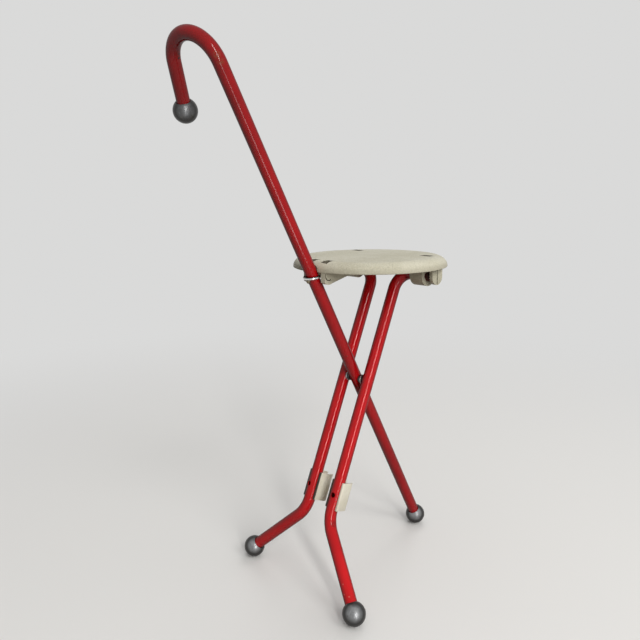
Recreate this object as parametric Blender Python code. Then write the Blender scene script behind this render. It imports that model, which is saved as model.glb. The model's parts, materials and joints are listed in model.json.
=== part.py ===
"""Folding walking-stick stool, standing open.

A hooked cane and a pair of legs cross at a pivot, and a moulded seat lies on the legs' upper ends.
To fold it, the legs turn on the pivot, the seat turns on the legs and a wire bail, hinged to the
seat, slides up the cane.  Lengths are in metres, +Z is up, and the cane leans towards -X.
"""

import math

import bmesh
import bpy
from mathutils import Matrix, Vector

# Stance
PIVOT_HEIGHT = 0.3036
CANE_TILT = math.radians(27.75)
LEG_TILT = math.radians(22.9)

# Clearances
SEAT_GAP = 0.0003
RUNNING_GAP = 0.0003
NOTCH_GAP = 0.0014

# Tubes
TUBE_RADIUS = 0.009
TUBE_WALL = 0.0015
TUBE_RING = 8
BEND_STEP = math.radians(9)

# Crook, along the cane from the pivot
SHAFT_LENGTH = 0.484
CROOK_RADIUS = 0.043
CROOK_BEND = math.radians(158)
CROOK_TAIL = 0.063
CROOK_TURN = math.radians(4)

# Balls
BALL_RADIUS = 0.0165
BALL_SOCKET = 0.002
BALL_LIP = 0.0006
BALL_ARC_STEPS = 11
BALL_STEPS = 24

# Legs, along each leg from the pivot
LEG_SPREAD = 0.025
KNEE_DROP = 0.2168
KNEE_BEND = math.radians(43.4)
KNEE_RADIUS = 0.048
LEG_TOP = 0.173
STUB_BEND_RADIUS = 0.027

# Pivot
PIN_RADIUS = 0.004
SPACER_RADIUS = 0.0066
SPACER_LENGTH = 0.0042
WASHER_RADIUS = 0.0075
RING_EDGE = 0.0006
RING_STEPS = 20

# Clips on the legs' fold side
CLIP_ABOVE_KNEE = 0.0398
CLIP_DROP = KNEE_DROP - CLIP_ABOVE_KNEE
CLIP_LENGTH = 0.042
CLIP_RADIUS = 0.0118
CLIP_WALL = 0.0026
CLIP_OFFSET = 0.016
CLIP_PASS_GAP = 0.0007
CLIP_SLIT = 0.010
SADDLE_WALL = 0.003
WEB_SUNK = 0.0002
SADDLE_WRAP = math.radians(106)
CLIP_STEPS = 36

# Clip screws
SCREW_RADIUS = 0.0017
SCREW_HEAD_RADIUS = 0.0031
SCREW_HEAD_HEIGHT = 0.0022
SCREW_BITE = 0.0022
ACCESS_HOLE_RADIUS = 0.0037
SCREW_STEPS = 12

# Seat shell, measured from the legs' hinge axis
SEAT_RADIUS = 0.116
SEAT_BACK = 0.0383
RIM_RISE = 0.0117
SEAT_DEPTH = 0.0155
SHOULDER = 0.018
RIM_EDGE = 0.001
SHELL_WALL = 0.004
SHOULDER_STEPS = 8
SEAT_STEPS = 60

# Barrels and end stops for the legs' stub axles
BARREL_RADIUS = 0.016
BARREL_INNER = 0.060
BARREL_OUTER = 0.0825
STOP_INNER = 0.0935
STOP_OUTER = 0.0985
STOP_RADIUS = 0.0115
STOP_DROP = 0.0015
STOP_SLIT = 0.0022

# Lugs and rails for the bail
LUG_BACK = 0.1433
LUG_RISE = 0.0075
LUG_RADIUS = 0.0125
LUG_LENGTH = 0.007
LUG_FACE_WALL = 0.0015
LUG_GROOVE_OUTER = 0.0072
LUG_GROOVE_INNER = 0.0058
LUG_GROOVE_DEPTH = 0.0025
LUG_GROOVE_START = math.radians(155)
LUG_GROOVE_END = math.radians(305)
RAIL_THICKNESS = 0.005
RAIL_SLOPE = math.radians(14)

# Pockets in the seat's top, above the lugs and the barrels
POCKET_DEPTH = 0.010
POCKET_WIDTH = 0.009
LUG_POCKET_LENGTH = 0.0106
LUG_POCKET_SHIFT = 0.0046
BARREL_POCKET_LENGTH = 0.016
BARREL_POCKET_SHIFT = 0.009

# Bail
WIRE_RADIUS = 0.002
WIRE_RING = 3
BAIL_DROP = math.radians(10)
BAIL_BEND_RADIUS = 0.0038

# Rivet under the bail
STOP_RIVET_RADIUS = 0.0032
STOP_RIVET_HEIGHT = 0.0036
STOP_RIVET_SHANK = 0.0016

# Derived places
HUB_TO_FLOOR = PIVOT_HEIGHT - BALL_RADIUS
CANE_FOOT = HUB_TO_FLOOR / math.cos(CANE_TILT)
LEG_FOOT = HUB_TO_FLOOR / math.cos(LEG_TILT)
STUB_END = STOP_INNER - SEAT_GAP
BAIL_ARM_SIDE = TUBE_RADIUS + WIRE_RADIUS + RUNNING_GAP
LUG_INNER = BAIL_ARM_SIDE + BAIL_BEND_RADIUS
LUG_OUTER = LUG_INNER + LUG_LENGTH
BOW_OFFSET = TUBE_RADIUS + WIRE_RADIUS + RUNNING_GAP
RIM_TOP = RIM_RISE + SEAT_DEPTH
FLAT_ANGLE = math.radians(0.3)
SIDES = {"left": 1, "right": -1}


def clear_scene():
    """Start from an empty scene."""
    for item in list(bpy.data.objects):
        bpy.data.objects.remove(item)


def make_material(name, colour, roughness, metallic=0.0):
    """A Principled material of one colour."""
    material = bpy.data.materials.new(name)
    material.use_nodes = True
    shader = material.node_tree.nodes["Principled BSDF"]
    shader.inputs["Base Color"].default_value = (*colour, 1.0)
    shader.inputs["Roughness"].default_value = roughness
    shader.inputs["Metallic"].default_value = metallic
    material.diffuse_color = (*colour, 1.0)
    return material


def make_frame(name, parent, location, tilt=0.0):
    """An empty on a joint's axis; tilt turns it about +Y."""
    frame = bpy.data.objects.new(name, None)
    frame.empty_display_size = 0.02
    frame.location = location
    frame.rotation_euler = (0.0, tilt, 0.0)
    frame.parent = parent
    bpy.context.collection.objects.link(frame)
    return frame


def add_part(name, shape, frame, material=None):
    """Turn a bmesh, drawn in the frame's axes, into an object under that frame."""
    mesh = bpy.data.meshes.new(name)
    bmesh.ops.recalc_face_normals(shape, faces=shape.faces)
    shape.to_mesh(mesh)
    shape.free()
    part = bpy.data.objects.new(name, mesh)
    part.parent = frame
    bpy.context.collection.objects.link(part)
    if material is not None:
        mesh.materials.append(material)
    return part


def evaluated_mesh(part):
    """A mesh of the part as its curve settings and modifiers give it."""
    bpy.context.view_layer.update()
    depsgraph = bpy.context.evaluated_depsgraph_get()
    return bpy.data.meshes.new_from_object(part.evaluated_get(depsgraph))


def bake(part):
    """Replace a part's mesh with the one its modifiers give."""
    mesh = evaluated_mesh(part)
    part.modifiers.clear()
    part.data = mesh


def combine(part, shape, operation):
    """Join, cut or trim a part by a bmesh drawn in the same frame."""
    tool = add_part("tool", shape, part.parent)
    modifier = part.modifiers.new(operation.lower(), "BOOLEAN")
    modifier.operation = operation
    modifier.object = tool
    bake(part)
    bpy.data.objects.remove(tool)


def dissolve_flats(part):
    """Merge the coplanar facets that cuts leave behind."""
    shape = bmesh.new()
    shape.from_mesh(part.data)
    bmesh.ops.dissolve_limit(shape, angle_limit=FLAT_ANGLE, verts=shape.verts, edges=shape.edges)
    shape.to_mesh(part.data)
    shape.free()


def lathe(profile, steps, closed=False):
    """Revolve a profile of (radius, height) points about Z."""
    shape = bmesh.new()
    verts = [shape.verts.new((radius, 0.0, height)) for radius, height in profile]
    ends = verts[1:] + verts[:1] if closed else verts[1:]
    edges = [shape.edges.new(pair) for pair in zip(verts, ends)]
    bmesh.ops.spin(shape, geom=verts + edges, cent=(0, 0, 0), axis=(0, 0, 1), angle=math.tau,
                   steps=steps, use_merge=True)
    bmesh.ops.remove_doubles(shape, verts=shape.verts, dist=1e-6)
    return shape


def prism(outline, start, end):
    """Extrude an outline of (x, z) points along Y, from start to end."""
    shape = bmesh.new()
    face = shape.faces.new([shape.verts.new((x, start, z)) for x, z in outline])
    grown = bmesh.ops.extrude_face_region(shape, geom=[face])
    moved = [item for item in grown["geom"] if isinstance(item, bmesh.types.BMVert)]
    bmesh.ops.translate(shape, verts=moved, vec=(0.0, end - start, 0.0))
    return shape


def box(low, high):
    """A box between two corners."""
    corners = [(low[0], low[2]), (high[0], low[2]), (high[0], high[2]), (low[0], high[2])]
    return prism(corners, low[1], high[1])


def rod(radius, start, end, steps):
    """A round bar between two points."""
    shape = bmesh.new()
    along = end - start
    turn = along.to_track_quat("Z", "Y").to_matrix().to_4x4()
    place = Matrix.Translation((start + end) / 2) @ turn
    bmesh.ops.create_cone(shape, cap_ends=True, segments=steps, radius1=radius, radius2=radius,
                          depth=along.length, matrix=place)
    return shape


def placed(shape, matrix):
    """Move a bmesh by a matrix and hand it back."""
    bmesh.ops.transform(shape, matrix=matrix, verts=shape.verts)
    return shape


def aimed(origin, direction):
    """A matrix that puts the lathe's Z axis at origin, along direction."""
    turn = Vector(direction).to_track_quat("Z", "Y").to_matrix().to_4x4()
    return Matrix.Translation(origin) @ turn


def arc(centre, radii, first, last, steps):
    """Points of an elliptical arc; the angles are in radians."""
    angles = [first + (last - first) * step / steps for step in range(steps + 1)]
    return [(centre[0] + radii[0] * math.cos(a), centre[1] + radii[1] * math.sin(a)) for a in angles]


def bent_path(start, heading, side, runs):
    """Centre line of a bent tube: each run is a straight length, then a bend radius and angle.

    A positive angle bends from heading towards side, a negative one away from it.
    """
    points = [start.copy()]
    place = start.copy()
    for length, radius, angle in runs:
        place = place + heading * length
        points.append(place)
        towards = side if angle > 0 else -side
        centre = place + towards * radius
        steps = max(1, round(abs(angle) / BEND_STEP)) if angle else 0
        for step in range(1, steps + 1):
            swept = abs(angle) * step / steps
            points.append(centre - towards * radius * math.cos(swept) + heading * radius * math.sin(swept))
        place = points[-1]
        heading, side = (heading * math.cos(angle) + side * math.sin(angle),
                         side * math.cos(angle) - heading * math.sin(angle))
    return points


def sweep(name, path, radius, ring, frame, material, wall=0.0):
    """A round section along a path: an open-ended tube if it has a wall, else a solid wire."""
    curve = bpy.data.curves.new(name, "CURVE")
    curve.dimensions = "3D"
    curve.bevel_depth = radius
    curve.bevel_resolution = ring
    curve.use_fill_caps = wall == 0.0
    spline = curve.splines.new("POLY")
    spline.points.add(len(path) - 1)
    for point, place in zip(spline.points, path):
        point.co = (*place, 1.0)
    draft = bpy.data.objects.new("draft", curve)
    bpy.context.collection.objects.link(draft)
    shape = bmesh.new()
    shape.from_mesh(evaluated_mesh(draft))
    bpy.data.objects.remove(draft)
    bmesh.ops.remove_doubles(shape, verts=shape.verts, dist=1e-6)
    part = add_part(name, shape, frame, material)
    if wall:
        skin = part.modifiers.new("wall", "SOLIDIFY")
        skin.thickness = wall
        skin.offset = -1.0
        bake(part)
    return part


def ball(name, centre, towards_tube, frame, material):
    """A ball with a blind socket for a tube's end."""
    socket = TUBE_RADIUS + SEAT_GAP
    floor = -BALL_SOCKET
    lip_angle = math.acos((socket + BALL_LIP) / BALL_RADIUS)
    lip_height = BALL_RADIUS * math.sin(lip_angle)
    outside = arc((0.0, 0.0), (BALL_RADIUS, BALL_RADIUS), -math.pi / 2, lip_angle, BALL_ARC_STEPS)
    profile = outside + [(socket, lip_height - BALL_LIP), (socket, floor), (0.0, floor)]
    profile[0] = (0.0, -BALL_RADIUS)
    return add_part(name, placed(lathe(profile, BALL_STEPS), aimed(centre, towards_tube)), frame, material)


def ring(name, inner, outer, start, end, frame, material):
    """A flat ring round the pivot pin, with its outer edges eased."""
    low, high = sorted((start, end))
    profile = [(inner, low), (outer - RING_EDGE, low), (outer, low + RING_EDGE),
               (outer, high - RING_EDGE), (outer - RING_EDGE, high), (inner, high)]
    turned = Matrix.Rotation(-math.pi / 2, 4, "X")
    return add_part(name, placed(lathe(profile, RING_STEPS, closed=True), turned), frame, material)


def build_cane(frame, paint, ball_finish, rivet_finish):
    """Cane tube with its crook, its two balls and the rivet that stops the bail."""
    up = Vector((0, 0, 1))
    reach = Vector((-math.sin(CROOK_TURN), math.cos(CROOK_TURN), 0))
    inset = BALL_SOCKET - SEAT_GAP
    foot = up * -CANE_FOOT
    start = foot - up * inset
    runs = [(SHAFT_LENGTH + CANE_FOOT + inset, CROOK_RADIUS, CROOK_BEND), (CROOK_TAIL + inset, 0.0, 0.0)]
    path = bent_path(start, up, reach, runs)
    tube = sweep("cane_tube", path, TUBE_RADIUS, TUBE_RING, frame, paint, TUBE_WALL)
    side = Vector((0, 2 * TUBE_RADIUS, 0))
    combine(tube, rod(PIN_RADIUS + RUNNING_GAP, -side, side, RING_STEPS), "DIFFERENCE")

    tail = (path[-1] - path[-2]).normalized()
    ball("handle_ball", path[-1] - tail * inset, -tail, frame, ball_finish)
    ball("cane_foot_ball", foot, up, frame, ball_finish)

    bow = bail_bow_height()
    rest = bow - WIRE_RADIUS - STOP_RIVET_RADIUS - SEAT_GAP
    outward = Vector((-1, 0, 0))
    hole = STOP_RIVET_SHANK + SEAT_GAP
    combine(tube, rod(hole, up * rest, up * rest + outward * 2 * TUBE_RADIUS, SCREW_STEPS), "DIFFERENCE")
    head = TUBE_RADIUS + SEAT_GAP
    crown = head + STOP_RIVET_HEIGHT
    tip = TUBE_RADIUS - TUBE_WALL
    profile = [(0.0, tip), (STOP_RIVET_SHANK, tip), (STOP_RIVET_SHANK, head), (STOP_RIVET_RADIUS, head)]
    dome = (STOP_RIVET_RADIUS, crown - head)
    profile += arc((0.0, head), dome, math.radians(20), math.pi / 2, SCREW_STEPS // 3)
    profile[-1] = (0.0, crown)
    add_part("bail_stop", placed(lathe(profile, SCREW_STEPS), aimed(up * rest, outward)), frame, rivet_finish)


def lug_in_cane_frame():
    """The bail's hinge, as its distance outside the cane's axis and its height along the cane."""
    x = LEG_TOP * math.sin(LEG_TILT) - LUG_BACK
    z = LEG_TOP * math.cos(LEG_TILT) + LUG_RISE
    outside = -x * math.cos(CANE_TILT) - z * math.sin(CANE_TILT)
    height = -x * math.sin(CANE_TILT) + z * math.cos(CANE_TILT)
    return outside, height


def bail_reach():
    """Length of the bail from its hinge to the middle of its bow."""
    outside, _ = lug_in_cane_frame()
    return (BOW_OFFSET - outside) / math.cos(CANE_TILT - BAIL_DROP)


def bail_bow_height():
    """Where the bow crosses the cane's outer side, along the cane from the pivot."""
    _, height = lug_in_cane_frame()
    return height + bail_reach() * math.sin(CANE_TILT - BAIL_DROP)


def build_leg(name, side, frame, paint, ball_finish):
    """One leg tube with its stub axle, knee and foot ball."""
    up = Vector((0, 0, 1))
    out = Vector((0, side, 0))
    shank = (LEG_FOOT - KNEE_DROP) / math.cos(KNEE_BEND)
    rising = up * math.cos(KNEE_BEND) - out * math.sin(KNEE_BEND)
    inward = -out * math.cos(KNEE_BEND) - up * math.sin(KNEE_BEND)
    knee = out * LEG_SPREAD - up * KNEE_DROP
    foot = knee - rising * shank
    inset = BALL_SOCKET - SEAT_GAP
    knee_tangent = KNEE_RADIUS * math.tan(KNEE_BEND / 2)
    straight = KNEE_DROP + LEG_TOP - knee_tangent - STUB_BEND_RADIUS
    stub = STUB_END - LEG_SPREAD - STUB_BEND_RADIUS
    runs = [(shank + inset - knee_tangent, KNEE_RADIUS, -KNEE_BEND),
            (straight, STUB_BEND_RADIUS, -math.pi / 2), (stub, 0.0, 0.0)]
    path = bent_path(foot - rising * inset, rising, inward, runs)
    tube = sweep(f"{name}_leg", path, TUBE_RADIUS, TUBE_RING, frame, paint, TUBE_WALL)

    axis = out * LEG_SPREAD
    combine(tube, rod(PIN_RADIUS + SEAT_GAP, axis, Vector((0, 0, 0)), RING_STEPS), "DIFFERENCE")
    screw = axis - up * CLIP_DROP
    across = jaw_from_leg(side).normalized() * 2 * TUBE_RADIUS
    combine(tube, rod(SCREW_RADIUS + SEAT_GAP, screw, screw + across, SCREW_STEPS), "DIFFERENCE")
    combine(tube, rod(ACCESS_HOLE_RADIUS, screw, screw - across, RING_STEPS), "DIFFERENCE")
    ball(f"{name}_foot_ball", foot, rising, frame, ball_finish)


def build_pivot(frame, steel, dark):
    """Cross pin, and a spacer and a washer on each side of the cane."""
    bore_depth = math.sqrt((TUBE_RADIUS - TUBE_WALL) ** 2 - PIN_RADIUS ** 2)
    along = Vector((0, LEG_SPREAD + bore_depth - SEAT_GAP, 0))
    add_part("pivot_pin", rod(PIN_RADIUS, -along, along, RING_STEPS), frame, steel)
    bore = PIN_RADIUS + SEAT_GAP
    for name, side in SIDES.items():
        near = TUBE_RADIUS + SEAT_GAP
        joint = near + SPACER_LENGTH
        far = LEG_SPREAD - TUBE_RADIUS - SEAT_GAP
        ring(f"{name}_spacer", bore, SPACER_RADIUS, side * near, side * joint, frame, dark)
        ring(f"{name}_washer", bore, WASHER_RADIUS, side * (joint + SEAT_GAP), side * far, frame, steel)


def jaw_from_leg(side):
    """From a leg's axis to the middle of its clip's jaw, which clears the cane in passing."""
    beside = LEG_SPREAD - (TUBE_RADIUS + CLIP_PASS_GAP + CLIP_RADIUS)
    return Vector((CLIP_OFFSET, -side * beside, 0))


def clip_web(leg, jaw, saddle_radius):
    """A block that fills the hollows between the saddle and the jaw, close to their common tangents."""
    along = jaw - leg
    ahead = along.normalized()
    aside = Vector((-ahead.y, ahead.x, 0))
    lean = (saddle_radius - CLIP_RADIUS) / along.length
    corners = []
    for turn in (1, -1):
        facing = ahead * lean + aside * turn * math.sqrt(1 - lean ** 2)
        ends = [leg + facing * (saddle_radius - WEB_SUNK), jaw + facing * (CLIP_RADIUS - WEB_SUNK)]
        corners += ends[::turn]
    shape = bmesh.new()
    base = Vector((0, 0, -CLIP_LENGTH / 2))
    face = shape.faces.new([shape.verts.new(corner + base) for corner in corners])
    grown = bmesh.ops.extrude_face_region(shape, geom=[face])
    moved = [item for item in grown["geom"] if isinstance(item, bmesh.types.BMVert)]
    bmesh.ops.translate(shape, verts=moved, vec=(0.0, 0.0, CLIP_LENGTH))
    return shape


def build_clip(name, side, frame, plastic, steel):
    """Slit jaw on a saddle that grips round the leg, and the screw that holds it there."""
    up = Vector((0, 0, 1))
    leg = Vector((0, side * LEG_SPREAD, -CLIP_DROP))
    jaw = leg + jaw_from_leg(side)
    half = up * CLIP_LENGTH / 2
    over = up * CLIP_LENGTH
    seat_radius = TUBE_RADIUS + SEAT_GAP
    saddle_radius = seat_radius + SADDLE_WALL
    clip = add_part(f"{name}_clip", rod(CLIP_RADIUS, jaw - half, jaw + half, CLIP_STEPS), frame, plastic)
    combine(clip, clip_web(leg, jaw, saddle_radius), "UNION")
    combine(clip, rod(CLIP_RADIUS - CLIP_WALL, jaw - over, jaw + over, CLIP_STEPS), "DIFFERENCE")
    combine(clip, rod(saddle_radius, leg - half, leg + half, CLIP_STEPS), "UNION")
    combine(clip, rod(seat_radius, leg - over, leg + over, CLIP_STEPS), "DIFFERENCE")
    reach = 2 * saddle_radius
    behind = leg + Vector((saddle_radius * math.cos(SADDLE_WRAP), reach, CLIP_LENGTH))
    combine(clip, box(leg - Vector((reach, reach, CLIP_LENGTH)), behind), "DIFFERENCE")
    slit_low = jaw + Vector((0, -CLIP_SLIT / 2, -CLIP_LENGTH))
    slit_high = jaw + Vector((2 * CLIP_RADIUS, CLIP_SLIT / 2, CLIP_LENGTH))
    combine(clip, box(slit_low, slit_high), "DIFFERENCE")
    across = jaw_from_leg(side).normalized()
    tip = seat_radius + SCREW_BITE
    bite = across * (tip + SEAT_GAP)
    combine(clip, rod(SCREW_RADIUS + SEAT_GAP, leg, leg + bite, SCREW_STEPS), "DIFFERENCE")

    under_head = math.sqrt((TUBE_RADIUS - TUBE_WALL) ** 2 - SCREW_HEAD_RADIUS ** 2) - SEAT_GAP
    crown = under_head - SCREW_HEAD_HEIGHT
    profile = [(0.0, tip), (SCREW_RADIUS, tip), (SCREW_RADIUS, under_head), (SCREW_HEAD_RADIUS, under_head)]
    dome = (SCREW_HEAD_RADIUS, under_head - crown)
    profile += arc((0.0, under_head), dome, math.radians(-30), -math.pi / 2, SCREW_STEPS // 3)
    profile[-1] = (0.0, crown)
    screw = placed(lathe(profile, SCREW_STEPS), aimed(leg, across))
    add_part(f"{name}_clip_screw", screw, frame, steel)


def u_block(x, z, radius, top, start, end):
    """A hanging block with upright sides and a round bottom, its axis along Y at x, z."""
    bottom = arc((x, z), (radius, radius), -math.pi, 0.0, CLIP_STEPS // 2)
    return prism([(x - radius, top)] + bottom + [(x + radius, top)], start, end)


def seat_shell_profile():
    """Section of the seat's shell from its middle to its rim and back underneath."""
    flat = SEAT_RADIUS - SHOULDER
    rim_corner = RIM_RISE + RIM_EDGE
    shoulder = arc((flat, rim_corner), (SHOULDER, RIM_TOP - rim_corner), math.pi / 2, 0.0, SHOULDER_STEPS)
    edge = [(SEAT_RADIUS - RIM_EDGE / 3, RIM_RISE + RIM_EDGE / 3), (SEAT_RADIUS - RIM_EDGE, RIM_RISE)]
    inner = arc((flat, RIM_RISE), (SHOULDER - SHELL_WALL, SEAT_DEPTH - SHELL_WALL), 0.0, math.pi / 2,
                SHOULDER_STEPS // 2)
    return [(0.0, RIM_TOP)] + shoulder + edge + inner + [(0.0, RIM_TOP - SHELL_WALL)]


def seat_envelope_profile():
    """The space that the seat's underside pieces may fill: below the shell's mid-thickness."""
    sunk = SHELL_WALL / 2
    flat = SEAT_RADIUS - SHOULDER
    floor = -2 * BARREL_RADIUS
    reach = SEAT_RADIUS - RIM_EDGE
    skin = arc((flat, RIM_RISE), (SHOULDER - sunk, SEAT_DEPTH - sunk), 0.0, math.pi / 2, SHOULDER_STEPS)
    return [(0.0, floor), (reach, floor), (reach, RIM_RISE)] + skin + [(0.0, RIM_TOP - sunk)]


def rail_outline():
    """Side view of a rail: it leaves the lug's round bottom and tapers up into the shell."""
    left = -LUG_BACK + LUG_RADIUS * math.sin(RAIL_SLOPE)
    low = LUG_RISE - LUG_RADIUS * math.cos(RAIL_SLOPE)
    right = left + (RIM_TOP - low) / math.tan(RAIL_SLOPE)
    return [(left, RIM_TOP), (left, low), (right, RIM_TOP)]


def build_seat(frame, plastic):
    """The seat moulding, drawn about the legs' hinge axis."""
    centre = Matrix.Translation((-SEAT_BACK, 0, 0))
    seat = add_part("seat", placed(lathe(seat_shell_profile(), SEAT_STEPS), centre), frame, plastic)

    under = add_part("under", u_block(0, 0, BARREL_RADIUS, RIM_TOP, BARREL_INNER, BARREL_OUTER), frame)
    combine(under, u_block(0, 0, BARREL_RADIUS, RIM_TOP, -BARREL_OUTER, -BARREL_INNER), "UNION")
    for side in SIDES.values():
        stop_ends = sorted((side * STOP_INNER, side * STOP_OUTER))
        combine(under, u_block(0, -STOP_DROP, STOP_RADIUS, RIM_TOP, *stop_ends), "UNION")
        lug_ends = sorted((side * LUG_INNER, side * LUG_OUTER))
        combine(under, u_block(-LUG_BACK, LUG_RISE, LUG_RADIUS, RIM_TOP, *lug_ends), "UNION")
        rail_inner = (LUG_INNER + LUG_OUTER - RAIL_THICKNESS) / 2
        rail_ends = sorted((side * rail_inner, side * (rail_inner + RAIL_THICKNESS)))
        combine(under, prism(rail_outline(), *rail_ends), "UNION")
    combine(under, placed(lathe(seat_envelope_profile(), SEAT_STEPS), centre), "INTERSECT")
    joined = bmesh.new()
    joined.from_mesh(under.data)
    bpy.data.objects.remove(under)
    combine(seat, joined, "UNION")

    across = Vector((0, STOP_INNER - SEAT_GAP, 0))
    combine(seat, rod(TUBE_RADIUS + RUNNING_GAP, -across, across, CLIP_STEPS), "DIFFERENCE")
    low = (-STOP_SLIT / 2, -2 * STOP_OUTER, -2 * BARREL_RADIUS)
    combine(seat, box(low, (STOP_SLIT / 2, -STOP_INNER, RIM_RISE)), "DIFFERENCE")
    low = (-STOP_SLIT / 2, STOP_INNER, -2 * BARREL_RADIUS)
    combine(seat, box(low, (STOP_SLIT / 2, 2 * STOP_OUTER, RIM_RISE)), "DIFFERENCE")
    cut_lugs(seat)
    cut_notch(seat)
    cut_pockets(seat)
    dissolve_flats(seat)


def cut_lugs(seat):
    """Blind holes for the bail's ends, and the curved groove in each lug's outer face."""
    hinge = Vector((-LUG_BACK, 0, LUG_RISE))
    across = Vector((0, LUG_OUTER - LUG_FACE_WALL, 0))
    combine(seat, rod(WIRE_RADIUS + RUNNING_GAP, hinge - across, hinge + across, SCREW_STEPS), "DIFFERENCE")
    centre = (-LUG_BACK, LUG_RISE)
    outer = arc(centre, (LUG_GROOVE_OUTER,) * 2, LUG_GROOVE_START, LUG_GROOVE_END, SCREW_STEPS)
    inner = arc(centre, (LUG_GROOVE_INNER,) * 2, LUG_GROOVE_END, LUG_GROOVE_START, SCREW_STEPS)
    for side in SIDES.values():
        ends = sorted((side * (LUG_OUTER - LUG_GROOVE_DEPTH), side * (LUG_OUTER + LUG_GROOVE_DEPTH)))
        combine(seat, prism(outer + inner, *ends), "DIFFERENCE")


def cut_notch(seat):
    """The notch in the rim that the cane passes through."""
    up = Vector((-math.sin(CANE_TILT), 0, math.cos(CANE_TILT)))
    pivot = Vector((-LEG_TOP * math.sin(LEG_TILT), 0, -LEG_TOP * math.cos(LEG_TILT)))
    middle = pivot + up * bail_bow_height()
    reach = up * 4 * SEAT_DEPTH
    combine(seat, rod(TUBE_RADIUS + NOTCH_GAP, middle - reach, middle + reach, CLIP_STEPS), "DIFFERENCE")


def cut_pockets(seat):
    """Pockets in the top, just inside the lugs and above the barrels."""
    lug_middle = (LUG_INNER + LUG_OUTER) / 2
    barrel_middle = (BARREL_INNER + BARREL_OUTER) / 2
    spots = [(LUG_POCKET_SHIFT - LUG_BACK, lug_middle - LUG_POCKET_SHIFT, LUG_POCKET_LENGTH, POCKET_WIDTH),
             (BARREL_POCKET_SHIFT, barrel_middle, POCKET_WIDTH, BARREL_POCKET_LENGTH)]
    for x, y, length, width in spots:
        for side in SIDES.values():
            low = (x - length / 2, side * y - width / 2, RIM_TOP - POCKET_DEPTH)
            high = (x + length / 2, side * y + width / 2, RIM_TOP + POCKET_DEPTH)
            combine(seat, box(low, high), "DIFFERENCE")


def build_bail(frame, chrome):
    """The wire bail, drawn about its hinge with its bow along the frame's -X."""
    along = Vector((-1, 0, 0))
    inward = Vector((0, -1, 0))
    pin = LUG_OUTER - LUG_GROOVE_DEPTH - BAIL_ARM_SIDE - BAIL_BEND_RADIUS
    arm = bail_reach() - BAIL_ARM_SIDE - BAIL_BEND_RADIUS
    quarter = math.pi / 2
    runs = [(pin, BAIL_BEND_RADIUS, quarter), (arm, BAIL_ARM_SIDE, -math.pi),
            (arm, BAIL_BEND_RADIUS, quarter), (pin, 0.0, 0.0)]
    start = inward * -(BAIL_ARM_SIDE + BAIL_BEND_RADIUS + pin)
    sweep("bail", bent_path(start, inward, along, runs), WIRE_RADIUS, WIRE_RING, frame, chrome)


def stand_on_origin(root):
    """Move the whole stool so that its box stands on the origin."""
    bpy.context.view_layer.update()
    meshes = [item for item in bpy.data.objects if item.type == "MESH"]
    corners = [item.matrix_world @ vert.co for item in meshes for vert in item.data.vertices]
    lows = [min(corner[axis] for corner in corners) for axis in range(3)]
    highs = [max(corner[axis] for corner in corners) for axis in range(3)]
    root.location = (-(lows[0] + highs[0]) / 2, -(lows[1] + highs[1]) / 2, -lows[2])
    bpy.context.view_layer.update()


def main():
    """Build the stool."""
    clear_scene()
    paint = make_material("red_enamel", (0.52, 0.010, 0.016), 0.22)
    ball_finish = make_material("grey_ball", (0.13, 0.14, 0.145), 0.38, 0.6)
    moulding = make_material("seat_moulding", (0.58, 0.55, 0.46), 0.5)
    clip_plastic = make_material("clip_plastic", (0.74, 0.72, 0.62), 0.42)
    steel = make_material("zinc_steel", (0.55, 0.55, 0.54), 0.32, 1.0)
    dark = make_material("dark_spacer", (0.05, 0.05, 0.048), 0.5)
    chrome = make_material("chrome_wire", (0.80, 0.80, 0.80), 0.12, 1.0)
    rivet = make_material("dull_rivet", (0.20, 0.15, 0.09), 0.45, 0.7)

    root = make_frame("stool", None, (0, 0, 0))
    cane = make_frame("cane_frame", root, (0, 0, PIVOT_HEIGHT), -CANE_TILT)
    legs = make_frame("legs_frame", root, (0, 0, PIVOT_HEIGHT), LEG_TILT)
    seat = make_frame("seat_frame", legs, (0, 0, LEG_TOP), -LEG_TILT)
    bail = make_frame("bail_frame", seat, (-LUG_BACK, 0, LUG_RISE), -BAIL_DROP)

    build_cane(cane, paint, ball_finish, rivet)
    for name, side in SIDES.items():
        build_leg(name, side, legs, paint, ball_finish)
        build_clip(name, side, legs, clip_plastic, steel)
    build_pivot(legs, steel, dark)
    build_seat(seat, moulding)
    build_bail(bail, chrome)
    stand_on_origin(root)
    print("root moved to", [round(value, 5) for value in root.location])


main()
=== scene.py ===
"""Looks of the folding walking-stick stool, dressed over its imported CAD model.

Every piece is drawn in one of four frames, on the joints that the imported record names, and then moved
into the row frame, so that object coordinates in the materials are metres on the standing stool.
"""

import json
from math import acos, asin, atan2, copysign, cos, pi, radians, sin, sqrt, tan, tau

import bmesh
import bpy
from mathutils import Matrix, Vector


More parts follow.
